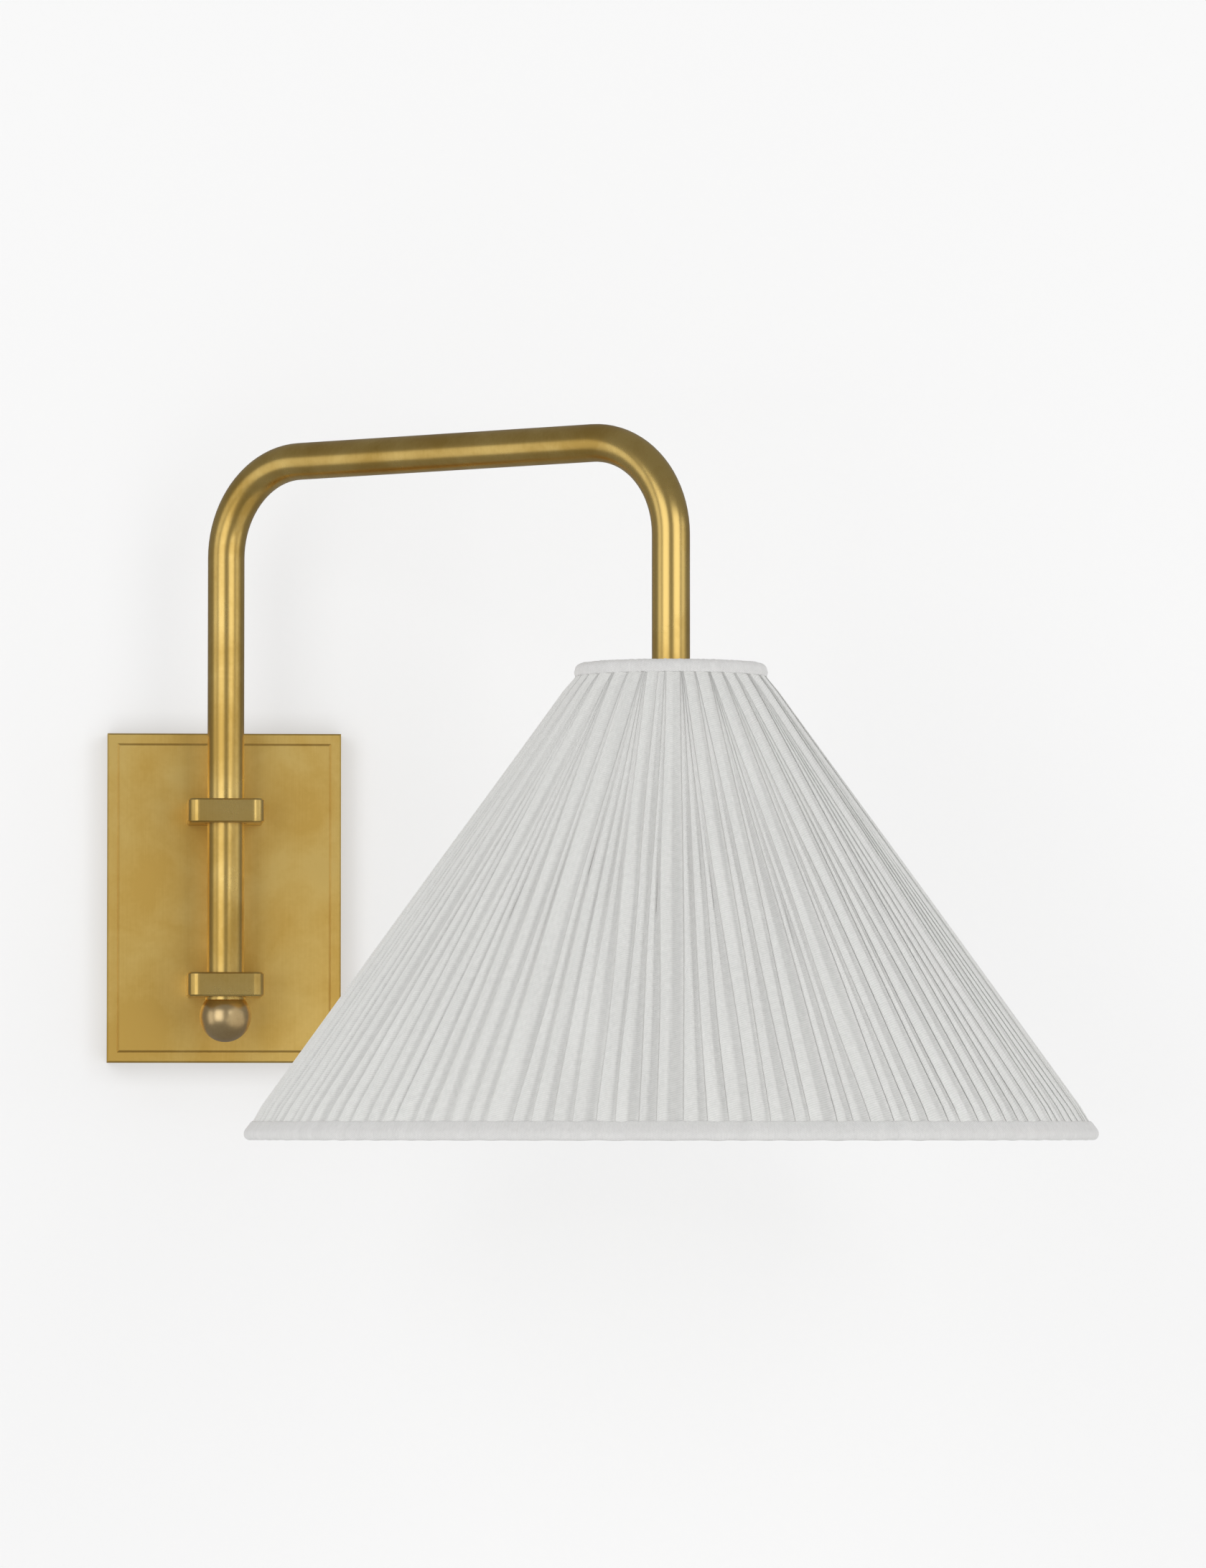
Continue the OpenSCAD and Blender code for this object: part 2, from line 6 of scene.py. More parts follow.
import bpy
import numpy as np
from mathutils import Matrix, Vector


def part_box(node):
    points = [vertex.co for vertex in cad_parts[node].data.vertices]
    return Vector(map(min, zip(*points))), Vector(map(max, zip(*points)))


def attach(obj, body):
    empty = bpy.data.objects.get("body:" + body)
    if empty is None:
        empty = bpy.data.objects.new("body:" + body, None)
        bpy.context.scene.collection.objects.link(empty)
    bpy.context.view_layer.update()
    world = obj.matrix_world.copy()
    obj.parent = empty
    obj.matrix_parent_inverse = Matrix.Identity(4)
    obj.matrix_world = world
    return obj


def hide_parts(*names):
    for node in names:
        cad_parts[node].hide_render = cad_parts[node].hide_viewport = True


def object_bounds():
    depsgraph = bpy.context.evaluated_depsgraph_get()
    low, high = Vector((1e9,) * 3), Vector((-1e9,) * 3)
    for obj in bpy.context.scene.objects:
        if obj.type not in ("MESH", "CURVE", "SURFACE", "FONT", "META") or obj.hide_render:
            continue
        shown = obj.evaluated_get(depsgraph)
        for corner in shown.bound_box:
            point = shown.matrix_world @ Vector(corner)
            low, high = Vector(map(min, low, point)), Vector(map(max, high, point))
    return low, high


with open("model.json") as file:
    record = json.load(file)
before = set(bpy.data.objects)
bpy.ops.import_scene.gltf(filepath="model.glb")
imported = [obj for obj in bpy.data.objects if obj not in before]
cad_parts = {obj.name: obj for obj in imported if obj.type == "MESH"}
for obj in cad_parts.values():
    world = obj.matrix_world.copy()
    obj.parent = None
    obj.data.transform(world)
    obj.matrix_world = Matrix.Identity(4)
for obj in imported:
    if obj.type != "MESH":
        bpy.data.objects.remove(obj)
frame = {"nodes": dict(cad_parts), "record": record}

CAD_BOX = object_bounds()
MM = 0.001
TAU = 2 * math.pi

# Camera, far away with a long lens
CAMERA_PLACE = (-0.0832, -4.1269, -0.1189)
CAMERA_PITCH = math.radians(92.49)
CAMERA_YAW = math.radians(-3.92)
CAMERA_LENS = 180.41           # in millimetres, as is the sensor's width
CAMERA_SENSOR = 36

# Floor and wall
FLOOR_Z = -0.6
STAGE_SIZE = 9.0
WALL_GAP = 0.2 * MM            # between the object's back and the wall
WALL_GLOW = 0.575
FLOOR_GLOW = 0.45
PAINT = (0.42, 0.42, 0.42, 1)
# Painted shade on the backdrop: its glow is lowered near the object
PAINTED_SHADE_REACH = 14 * MM         # how near a thing dims the wall behind it
PAINTED_SHADE_SHARE = 0.62            # glow left right beside it, as a share of the wall's

# The room, seen by the camera, by the metal's reflections, and by everything else
ROOM_COLOUR = (0.913, 0.913, 0.913, 1)
SEEN_ROOM = 1.0
MIRRORED_ROOM = 0.25
ROOM_LIGHT = 0.36

# Panels of light, each on the left and on the right: turn round the object from the front,
# height over its middle, width and height of the panel, and its radiance
PANEL_REACH = 3.2
PANEL_TARGET = Vector((0.1, -0.15, 0.05))
SOFTBOX = {"turn": math.radians(33), "height": 0.5, "size": (1.35, 3.0), "glow": 2.05}
FILL = {"turn": math.radians(78), "height": 0.8, "size": (2.2, 2.6), "glow": 0.82}
GLINT = {"turn": math.radians(33), "height": 0.1, "size": (2.2, 2.7), "glow": 1.15}
SIDE = {"turn": math.radians(74), "height": -0.3, "size": (1.4, 2.6), "glow": 0.66}


# ---------------------------------------------------------------- shade section

EDGE_MATCH = 0.05 * MM         # how near a point lies to the edge that it belongs to


def cone_of(node):
    """The axis, radii and heights of a cone-shaped CAD node's outer face."""
    low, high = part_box(node)
    axis = (low + high) / 2
    points = np.array([v.co for v in frame["nodes"][node].data.vertices])
    radii = np.hypot(points[:, 0] - axis.x, points[:, 1] - axis.y)
    at_top = points[:, 2] > high.z - EDGE_MATCH
    at_foot = radii > radii.max() - EDGE_MATCH
    return {"x": axis.x, "y": axis.y, "top_r": radii[at_top].max(), "top_z": high.z,
            "foot_r": radii.max(), "foot_z": points[at_foot, 2].max()}


CONE = cone_of("shade_cover")
DROP = CONE["top_z"] - CONE["foot_z"]
SPREAD = CONE["foot_r"] - CONE["top_r"]
SLANT = math.hypot(DROP, SPREAD)
SLOPE_COS = DROP / SLANT
SLOPE_SIN = SPREAD / SLANT


def shade_point(turn, down, out):
    """Place on the shade: turn round its axis, distance down the slope, distance out of it."""
    radius = CONE["top_r"] + down * SLOPE_SIN + out * SLOPE_COS
    height = CONE["top_z"] - down * SLOPE_COS + out * SLOPE_SIN
    return np.stack(np.broadcast_arrays(CONE["x"] + radius * np.cos(turn),
                                        CONE["y"] + radius * np.sin(turn), height), axis=-1)


def smooth(low, high, value):
    """0 up to low, 1 from high, and a soft step between them."""
    t = np.clip((value - low) / (high - low), 0, 1)
    return t * t * (3 - 2 * t)


# ---------------------------------------------------------------- mesh building

def ring_mesh(name, points, uv):
    """A smooth closed sheet through a grid of points: the first axis runs down, the second
    round. uv has each point's place on the flat cloth, in metres."""
    rows, columns = points.shape[:2]
    row, column = np.meshgrid(np.arange(rows - 1), np.arange(columns), indexing="ij")
    across = (column + 1) % columns
    faces = np.stack([row * columns + column, (row + 1) * columns + column,
                      (row + 1) * columns + across, row * columns + across], axis=-1).reshape(-1, 4)
    mesh = bpy.data.meshes.new(name)
    mesh.from_pydata(points.reshape(-1, 3).tolist(), [], faces.tolist())
    layer = mesh.uv_layers.new(name="cloth")
    corners = uv.reshape(-1, 2)[faces.reshape(-1)].reshape(-1, 4, 2)
    width = uv[0, -1, 0] + uv[0, 1, 0] - uv[0, 0, 0]
    closing = (column == columns - 1).reshape(-1)
    corners[closing, 2:, 0] += width
    layer.data.foreach_set("uv", corners.reshape(-1))
    mesh.polygons.foreach_set("use_smooth", [True] * len(mesh.polygons))
    mesh.update()
    piece = bpy.data.objects.new(name, mesh)
    bpy.context.scene.collection.objects.link(piece)
    return piece


def wavy(rng, turns, waves, low, high):
    """A smooth random wave round the shade: a number of sines with random phases, each of
    which repeats between low and high times round it."""
    total = np.zeros_like(turns)
    for count in rng.integers(low, high, waves):
        total += np.sin(count * turns + rng.uniform(0, TAU))
    return total / math.sqrt(waves)


# ---------------------------------------------------------------- pleated cover

# Bindings: depth along the slope, reach past the edge, length of the round nose, how far the
# face stands out from the cloth, and the number of steps round the shade
TOP_TAPE = {"depth": 6.2 * MM, "over": 1.9 * MM, "nose": 4.2 * MM, "stand": 3.1 * MM,
            "steps": 360}
FOOT_TAPE = {"depth": 7.0 * MM, "over": 2.0 * MM, "nose": 3.6 * MM, "stand": 1.2 * MM,
             "steps": 1200}

PLEATS = 124
COVER_ROWS = 40                # rows of points from top to foot
COVER_SEED = 11
STACKS = [1, 2, 3, 4, 5]       # numbers of folds that may lie on each other at the top
COVER_EDGE = 1.0 * MM          # the cloth stops short of the fold of each binding
SWAY = 0.12                    # how far a fold wanders sideways, as a share of the mean pitch
FOLD_LIFT = 1.5 * MM           # height of a fold over the recess beside it, at the foot
GATHERED_LIFT = 1.05 * MM      # and at the top, where the folds lie over each other
TAPED_LIFT = 0.6 * MM          # and under the bindings
LIFT_SPREAD = (0.72, 1.1)      # least and most of a fold's height, as a share of its lift
BAND_SPREAD = (0.36, 0.66)     # least and most width of a fold's raised band, of its pitch
TAPED_SINK = 0.4 * MM          # how far the cloth is pressed in under the bindings
NARROW, WIDE = 0.8 * MM, 5 * MM  # pitch where a fold has no band yet, and has all of it
FOLD_SPARE = 1.2 * MM          # cloth tucked under a fold where it is widest
ROLL = 0.35 * MM               # half thickness of a fold's rolled edge
TOUCH = 0.55                   # how high the cloth meets the next fold, as a share of it
CREASE = 0.06 * MM             # depth of the fine creases along a fold
FACE_STEPS = (0.04, 0.12, 0.22, 0.33, 0.44, 0.55, 0.67, 0.81, 0.97)  # shares of the pitch

# Recesses that stand open: turn round the shade in degrees, and from where to where down it
OPENINGS = ((-131, 0.02, 0.34), (-99, 0.10, 0.38), (-63, 0.05, 0.30), (30, 0.10, 0.45),
            (110, 0.05, 0.40), (170, 0.15, 0.50))
OPENING_DEPTH = 0.3 * MM


def foot_turns(rng):
    """Turn of each fold's edge at the foot, a little uneven."""
    return (np.arange(PLEATS) + rng.uniform(-0.2, 0.2, PLEATS)) * TAU / PLEATS


def top_turns(rng):
    """Turn of each fold's edge at the top, where the folds lie on each other in stacks."""
    sizes = []
    while sum(sizes) < PLEATS:
        sizes.append(min(int(rng.choice(STACKS)), PLEATS - sum(sizes)))
    turns = []
    for size in sizes:
        middle = len(turns) + (size - 1) / 2 + rng.uniform(-0.3, 0.3)
        squeeze = rng.uniform(0.06, 0.22)
        turns += [middle + (n - (size - 1) / 2) * squeeze for n in range(size)]
    return np.array(turns) * TAU / PLEATS


def straight_share(down):
    """How far a straight fold has turned from its top place to its foot place."""
    tip = CONE["top_r"] / SLOPE_SIN
    return (1 / tip - 1 / (tip + down)) / (1 / tip - 1 / (tip + SLANT))


def band_profile(t, band, recess):
    """Height of a fold across one pleat: a soft raised band, then a flat recess."""
    crown = 0.82 + 0.18 * np.sin(math.pi * np.clip(t / band, 0, 1))
    fall = smooth(band, band + 0.15, t)
    return crown * (1 - fall) + recess * fall


def openings(edge, share):
    """How far each pleat's recess is parted: 0 is closed and 1 is wide open."""
    parted = np.zeros_like(edge)
    for turn, start, stop in OPENINGS:
        row = int((start + stop) / 2 * COVER_ROWS)
        away = np.abs(np.angle(np.exp(1j * (edge[row] - math.radians(turn)))))
        opening = smooth(start, start + 0.10, share[:, 0])
        closing = smooth(stop - 0.20, stop, share[:, 0])
        parted[:, away.argmin()] = opening * (1 - closing)
    return parted


def make_cover():
    """The silk: one gathered strip whose folds lie over each other like knife pleats."""
    rng = np.random.default_rng(COVER_SEED)
    down = np.linspace(COVER_EDGE, SLANT - COVER_EDGE, COVER_ROWS)[:, None]
    share = down / SLANT
    radius = CONE["top_r"] + down * SLOPE_SIN
    top, foot = top_turns(rng), foot_turns(rng)
    swing = np.sin(share * rng.uniform(3, 9, PLEATS) + rng.uniform(0, TAU, PLEATS))
    sway = SWAY * TAU / PLEATS * swing * np.sin(math.pi * share)
    edge = top + (foot - top) * straight_share(down) + sway
    pitch = np.diff(np.concatenate([edge, edge[:, :1] + TAU], axis=1), axis=1) * radius
    cloth = pitch.max(axis=0) + 2 * FOLD_SPARE
    tuck = (cloth - pitch) / 2
    room = smooth(NARROW, WIDE, pitch)
    gathered = 1 - smooth(0.05, 0.5, share)

    # Height of the folds, pressed flat (pressed is 0 there) under the bindings
    from_top = smooth(TOP_TAPE["depth"] - 2 * MM, TOP_TAPE["depth"] + 9 * MM, down)
    from_foot = smooth(FOOT_TAPE["depth"] - 3 * MM, FOOT_TAPE["depth"] + 7 * MM, SLANT - down)
    pressed = np.minimum(from_top, from_foot)
    lift = FOLD_LIFT + (GATHERED_LIFT - FOLD_LIFT) * gathered
    lift = lift * rng.uniform(*LIFT_SPREAD, PLEATS)
    lift = TAPED_LIFT + (lift - TAPED_LIFT) * pressed
    base = -TAPED_SINK * (1 - pressed)
    recess = 0.06 + 0.44 * gathered + 0.2 * (1 - pressed)
    band = rng.uniform(*BAND_SPREAD, PLEATS)
    band = band + 0.05 * np.sin(share * 7 + rng.uniform(0, TAU, PLEATS))
    parted = openings(edge, share)
    band = band * (1 - 0.5 * parted)
    sink = OPENING_DEPTH * parted

    # Section of one pleat: the face, the tuck under the next fold, and that fold's round edge
    phase = rng.uniform(0, TAU, (2, PLEATS))
    next_lift = np.roll(lift, -1, axis=1)
    columns = []
    for t in FACE_STEPS:
        slanting = 1 - t * pitch / (pitch + tuck)
        height = lift * (room * band_profile(t, band, recess) + (1 - room) * slanting)
        creases = np.sin(12 * t + phase[0] + 3 * share) + 0.7 * np.sin(25 * t + phase[1] - 4 * share)
        height = height + CREASE * creases * pressed * (0.4 + 0.6 * room)
        height = height - sink * smooth(band, band + 0.25, t)
        columns.append((t * pitch, height + (TOUCH * next_lift - height) * smooth(0.76, 1, t)))
    sunk = lift * recess * 0.5 - sink
    columns.append((pitch + 0.12 * tuck, 0.4 * next_lift))
    columns.append((pitch + 0.5 * tuck, sunk))
    columns.append((pitch + tuck, sunk * 0.4))
    columns.append((pitch + 0.5 * tuck, next_lift * 0.3))
    columns.append((pitch + 0.12 * tuck, next_lift * 0.5))
    roll = np.minimum(ROLL, 0.1 * pitch)
    for along, height in ((0.3, 0.60), (0.0, 0.68), (0.1, 0.78), (0.5, 0.85)):
        columns.append((pitch + along * roll, next_lift * height))

    across = np.stack([c[0] for c in columns], axis=-1)
    rise = np.stack([c[1] for c in columns], axis=-1)
    turn = edge[..., None] + across / radius[..., None]
    points = shade_point(turn, down[..., None], base[..., None] + rise)
    fraction = np.linspace(0, 1, len(columns), endpoint=False)
    starts = np.cumsum(cloth) - cloth
    along_cloth = starts[:, None] + cloth[:, None] * fraction
    uv = np.stack(np.broadcast_arrays(along_cloth, down[..., None]), axis=-1)
    cover = ring_mesh("pleated_cover", points.reshape(COVER_ROWS, -1, 3),
                      uv.reshape(COVER_ROWS, -1, 2))
    # How high the cloth lies in each pleat, 0 in a recess and 1 on a fold. The silk is darker where
    # it lies low: partly the single thin layer's own colour, partly painted shade in the recesses.
    layers_and_shade = cover.data.attributes.new("layers_and_shade", "FLOAT", "POINT")
    layers_and_shade.data.foreach_set("value", smooth(0.1, 0.75, rise / lift[..., None]).reshape(-1))
    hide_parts("shade_cover")
    return cover


# ---------------------------------------------------------------- bindings and lining

TAPE_INSIDE = -4.9 * MM        # where a tape's inner half lies, measured out of the slope
TAPE_PUCKER = 0.10 * MM        # short waves across its face
TAPE_SWELL = 0.08 * MM         # and long ones
TAPE_WANDER = 0.14 * MM        # waves of its edges, along the slope
NOSE_STEPS = 12


def make_tape(name, node, edge_at, side, tape, seed):
    """Tape folded over an edge of the shade, with its raw edges turned under.
    side is 1 where the tape's nose points down the slope and -1 where it points up."""
    rng = np.random.default_rng(seed)
    turn = np.linspace(0, TAU, tape["steps"], endpoint=False)
    depth, nose, stand = tape["depth"], tape["nose"], tape["stand"]
    back = edge_at - side * depth
    section = [(back + side * 0.5 * MM, 0.1 * MM), (back + side * 0.05 * MM, 0.3 * MM),
               (back, 0.6 * MM), (back + side * 0.4 * MM, 0.9 * MM),
               (back + side * 1.2 * MM, 0.5 * MM + 0.5 * stand)]
    middle = (stand + TAPE_INSIDE) / 2
    half = (stand - TAPE_INSIDE) / 2
    centre = edge_at + side * (tape["over"] - nose)
    for step in range(NOSE_STEPS + 1):
        angle = math.pi * step / NOSE_STEPS
        section.append((centre + side * nose * math.sin(angle), middle + half * math.cos(angle)))
    section += [(back + side * depth * t, TAPE_INSIDE) for t in (0.4, 0.15, 0.0)]
    section.append((back + side * 0.4 * MM, TAPE_INSIDE + 0.6 * MM))
    path = np.array(section)
    shown = 1 - smooth(0.35, 0.6, np.arange(len(path)) / len(path))
    pucker = TAPE_PUCKER * wavy(rng, turn, 10, 60, 220) + TAPE_SWELL * wavy(rng, turn, 6, 10, 40)
    down = path[:, 0][:, None] + TAPE_WANDER * wavy(rng, turn, 8, 20, 120)[None, :]
    out = path[:, 1][:, None] + pucker[None, :] * shown[:, None]
    points = shade_point(turn[None, :], down, out)
    steps = np.hypot(*np.diff(path, axis=0).T)
    along = np.concatenate([[0], np.cumsum(steps)])
    girth = TAU * (CONE["top_r"] + edge_at * SLOPE_SIN)
    uv = np.stack(np.broadcast_arrays(turn[None, :] / TAU * girth, along[:, None]), axis=-1)
    piece = ring_mesh(name, points, uv)
    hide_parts(node)
    return piece


LINING_OUT = -3.9 * MM         # where the lining lies, measured out of the slope
LINING_BELLY = 0.5 * MM        # how far it is drawn in between the ribs
LINING_FOLD = 0.22 * MM        # height of its shallow folds at the top
LINING_GRID = (30, 480)        # rows and columns of points
LINING_SEED = 5
RIBS = 8


def make_lining():
    """Plain lining stretched inside the wires, drawn into shallow folds between them."""
    rng = np.random.default_rng(LINING_SEED)
    low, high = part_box("shade_lining")
    rows, columns = LINING_GRID
    start = (CONE["top_z"] - high.z) / SLOPE_COS - 2.0 * MM
    stop = (CONE["top_z"] - low.z) / SLOPE_COS - 3.0 * MM
    down = np.linspace(max(start, 1.5 * MM), min(stop, SLANT - 2.5 * MM), rows)[:, None]
    turn = np.linspace(0, TAU, columns, endpoint=False)[None, :]
    share = down / SLANT
    belly = LINING_BELLY * np.sin(math.pi * share) * (0.5 + 0.5 * np.cos(RIBS * turn))
    folds = LINING_FOLD * wavy(rng, turn, 14, 30, 110) * (1.1 - share)
    out = LINING_OUT - belly + folds * np.sin(math.pi * share) ** 0.5
    points = shade_point(turn, down, out)
    girth = TAU * CONE["foot_r"]
    uv = np.stack(np.broadcast_arrays(turn / TAU * girth, down), axis=-1)
    lining = ring_mesh("stretched_lining", points, uv)
    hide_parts("shade_lining")
    return lining


# ---------------------------------------------------------------- materials

WAVE_RADIANS = 10              # the wave texture turns this far over each unit of its vector
TWILL = (0.5, 0.87)            # share of the ridges' radians across and along the cloth


class Finish:
    """One Principled material, with the node calls that the finishes share."""

    def __init__(self, name, colour, roughness, metallic=0.0, **settings):
        self.material = bpy.data.materials.new(name)
        self.material.use_nodes = True
        self.material.diffuse_color = (*colour, 1)
        self.tree = self.material.node_tree
        self.shader = self.tree.nodes["Principled BSDF"]
        self.put("Base Color", (*colour, 1))
        self.put("Roughness", roughness)
        self.put("Metallic", metallic)
        for socket, value in settings.items():
            self.put(socket.replace("_", " "), value)
        self.coordinates = self.tree.nodes.new("ShaderNodeTexCoord")

    def put(self, socket, value):
        """Sets a socket of the shader to one value all over."""
        self.shader.inputs[socket].default_value = value

    def link(self, source, target):
        self.tree.links.new(source, target)

    def space(self, scale, kind="Object"):
        """Coordinates stretched by a scale per metre along each axis."""
        mapping = self.tree.nodes.new("ShaderNodeMapping")
        mapping.inputs["Scale"].default_value = scale
        self.link(self.coordinates.outputs[kind], mapping.inputs["Vector"])
        return mapping.outputs["Vector"]

    def noise(self, scale, detail=4.0, kind="Object", distortion=0.0):
        """Noise with a scale per metre, the same along each axis or one for each."""
        node = self.tree.nodes.new("ShaderNodeTexNoise")
        node.inputs["Scale"].default_value = 1.0
        node.inputs["Detail"].default_value = detail
        node.inputs["Distortion"].default_value = distortion
        size = scale if isinstance(scale, tuple) else (scale, scale, scale)
        self.link(self.space(size, kind), node.inputs["Vector"])
        return node.outputs["Fac"]

    def ridges(self, across, along, distortion):
        """Slanting ridges, from the radians per metre across and along the cloth."""
        node = self.tree.nodes.new("ShaderNodeTexWave")
        node.bands_direction = "DIAGONAL"
        node.inputs["Scale"].default_value = 1.0
        node.inputs["Distortion"].default_value = distortion
        size = (across / WAVE_RADIANS, along / WAVE_RADIANS, 1)
        self.link(self.space(size, "UV"), node.inputs["Vector"])
        return node.outputs["Fac"]

    def ramp(self, value, low, high, from_value=0.0, to_value=1.0):
        """from_value where value is low or less, to_value where it is high or more."""
        node = self.tree.nodes.new("ShaderNodeMapRange")
        node.inputs["From Min"].default_value = low
        node.inputs["From Max"].default_value = high
        node.inputs["To Min"].default_value = from_value
        node.inputs["To Max"].default_value = to_value
        self.link(value, node.inputs["Value"])
        return node.outputs["Result"]

    def blend(self, factor, first, second):
        """Colour that runs from first to second; each is a colour or a socket."""
        node = self.tree.nodes.new("ShaderNodeMix")
        node.data_type = "RGBA"
        self.link(factor, node.inputs["Factor"])
        self.fill_colours(node, first, second)
        return [o for o in node.outputs if o.type == "RGBA"][0]

    def multiply(self, first, second):
        """Product of two colours; each is a colour or a socket."""
        node = self.tree.nodes.new("ShaderNodeMix")
        node.data_type = "RGBA"
        node.blend_type = "MULTIPLY"
        node.inputs["Factor"].default_value = 1.0
        self.fill_colours(node, first, second)
        return [o for o in node.outputs if o.type == "RGBA"][0]

    def fill_colours(self, node, first, second):
        """Puts two colours, each a colour or a socket, into a mix node."""
        for socket, value in (("A", first), ("B", second)):
            target = [i for i in node.inputs if i.name == socket and i.type == "RGBA"][0]
            if isinstance(value, tuple):
                target.default_value = (*value, 1)
            else:
                self.link(value, target)

    def attribute(self, name):
        """A value that the mesh holds at each point."""
        node = self.tree.nodes.new("ShaderNodeAttribute")
        node.attribute_name = name
        return node.outputs["Fac"]

    def add(self, first, second, share):
        """first + share * second"""
        node = self.tree.nodes.new("ShaderNodeMath")
        node.operation = "MULTIPLY_ADD"
        node.inputs[1].default_value = share
        self.link(second, node.inputs[0])
        self.link(first, node.inputs[2])
        return node.outputs[0]

    def colour(self, socket):
        self.link(socket, self.shader.inputs["Base Color"])

    def rough(self, socket):
        self.link(socket, self.shader.inputs["Roughness"])

    def bump(self, height, depth, strength=1.0):
        node = self.tree.nodes.new("ShaderNodeBump")
        node.inputs["Distance"].default_value = depth
        node.inputs["Strength"].default_value = strength
        self.link(height, node.inputs["Height"])
        self.link(node.outputs["Normal"], self.shader.inputs["Normal"])


def aged_brass(name, grain, roughness, gold=(0.80, 0.57, 0.19), patina=(0.62, 0.40, 0.10)):
    """Satin antique brass: gold with brown patina, and fine lines along the grain.
    grain is the lines' scale along each axis, smallest along the lines."""
    finish = Finish(name, gold, roughness, 1.0, Coat_Weight=0.1, Coat_Roughness=0.25)
    blotches = finish.noise(30, detail=6, distortion=0.4)
    specks = finish.noise(420, detail=2)
    lines = finish.noise(grain, detail=3)
    mixed = finish.add(blotches, specks, 0.12)
    mixed = finish.add(mixed, lines, 0.12)
    finish.colour(finish.blend(finish.ramp(mixed, 0.48, 0.76), patina, gold))
    finish.rough(finish.ramp(mixed, 0.45, 0.80, roughness + 0.04, roughness - 0.03))
    finish.bump(lines, 0.004 * MM, 0.2)
    return finish.material


def silk(name, colour, period, depth, sheen, single_layer_and_shade=None):
    """Twill silk: fine slanting ridges a period apart, uneven threads and a soft sheen.
    The last argument, if given, is the darker colour of the recesses, where one thin layer of cloth
    lies: partly that layer's own colour and partly painted shade."""
    finish = Finish(name, colour, 0.62, Sheen_Weight=sheen, Sheen_Roughness=0.35,
                    Specular_IOR_Level=0.35)
    ridges = finish.ridges(TWILL[0] * TAU / period, TWILL[1] * TAU / period, 0.8)
    threads = finish.noise((1 / period, 0.3 / period, 1), detail=3, kind="UV")
    cloudy = finish.noise((130, 12, 1), detail=3, kind="UV")
    # Darker colour in the recesses: partly the single thin layer of cloth, partly painted shade
    if single_layer_and_shade:
        layers_and_shade = finish.attribute("layers_and_shade")
        colour = finish.blend(layers_and_shade, single_layer_and_shade, colour)
    woven = finish.add(threads, ridges, 0.35)
    shade = finish.ramp(finish.add(woven, cloudy, 0.8), 0.70, 1.45)
    tint = finish.blend(shade, (0.84, 0.84, 0.84), (1.0, 1.0, 1.0))
    finish.colour(finish.multiply(colour, tint))
    finish.rough(finish.ramp(threads, 0.3, 0.7, 0.7, 0.55))
    finish.bump(finish.add(ridges, threads, 0.6), depth, 1.0)
    return finish.material


def bare_metal(name, colour, roughness, scale=300):
    """Dull metal, a little cloudy."""
    finish = Finish(name, colour, roughness, 1.0)
    cloud = finish.noise(scale)
    dark = tuple(0.8 * c for c in colour)
    finish.colour(finish.blend(finish.ramp(cloud, 0.35, 0.65), dark, colour))
    finish.rough(finish.ramp(cloud, 0.3, 0.7, roughness + 0.08, roughness - 0.06))
    finish.bump(finish.noise(scale * 6), 0.02 * MM, 0.3)
    return finish.material


def moulded(name, colour, roughness, scale=500):
    """Plastic, rubber or fibre with a fine grain."""
    finish = Finish(name, colour, roughness)
    grain = finish.noise(scale, detail=5)
    dark = tuple(0.85 * c for c in colour)
    finish.colour(finish.blend(finish.ramp(grain, 0.3, 0.7), dark, colour))
    finish.rough(finish.ramp(grain, 0.3, 0.7, roughness + 0.06, roughness - 0.05))
    finish.bump(grain, 0.05 * MM, 0.25)
    return finish.material


def opal(name):
    """White glass of the unlit bulb."""
    finish = Finish(name, (0.92, 0.91, 0.87), 0.22, Coat_Weight=0.4, Coat_Roughness=0.05)
    mist = finish.noise(120)
    finish.colour(finish.blend(finish.ramp(mist, 0.3, 0.7), (0.88, 0.87, 0.83), (0.95, 0.94, 0.91)))
    return finish.material


def finishes():
    """The material of every slot in the record. The name of each slot is also the material's."""
    return {
        "aged_brass": aged_brass("aged_brass", (900, 900, 25), 0.29),
        "zinc_steel": bare_metal("zinc_steel", (0.62, 0.62, 0.60), 0.38),
        "bronze_bush": bare_metal("bronze_bush", (0.45, 0.28, 0.13), 0.42),
        "bulb_cap_metal": bare_metal("bulb_cap_metal", (0.75, 0.74, 0.70), 0.25),
        # The cover's second colour, for its recesses, is partly painted shade
        "silk_cover": silk("silk_cover", (0.93, 0.928, 0.903), 1.1 * MM, 0.10 * MM, 0.12,
                           single_layer_and_shade=(0.79, 0.786, 0.766)),
        "silk_lining": silk("silk_lining", (0.86, 0.855, 0.83), 0.7 * MM, 0.04 * MM, 0.08),
        "silk_binding": silk("silk_binding", (0.85, 0.843, 0.83), 0.8 * MM, 0.06 * MM, 0.08),
        "white_wire": moulded("white_wire", (0.85, 0.85, 0.82), 0.35),
        "black_plastic": moulded("black_plastic", (0.02, 0.018, 0.016), 0.32),
        "black_insulation": moulded("black_insulation", (0.025, 0.025, 0.025), 0.5),
        "white_insulation": moulded("white_insulation", (0.82, 0.82, 0.78), 0.5),
        "green_insulation": moulded("green_insulation", (0.05, 0.25, 0.08), 0.5),
        "orange_plastic": moulded("orange_plastic", (0.75, 0.22, 0.03), 0.45),
        "green_screw": bare_metal("green_screw", (0.12, 0.38, 0.14), 0.35),
        "fibre_liner": moulded("fibre_liner", (0.30, 0.24, 0.16), 0.8, 900),
        "opal_glass": opal("opal_glass"),
    }


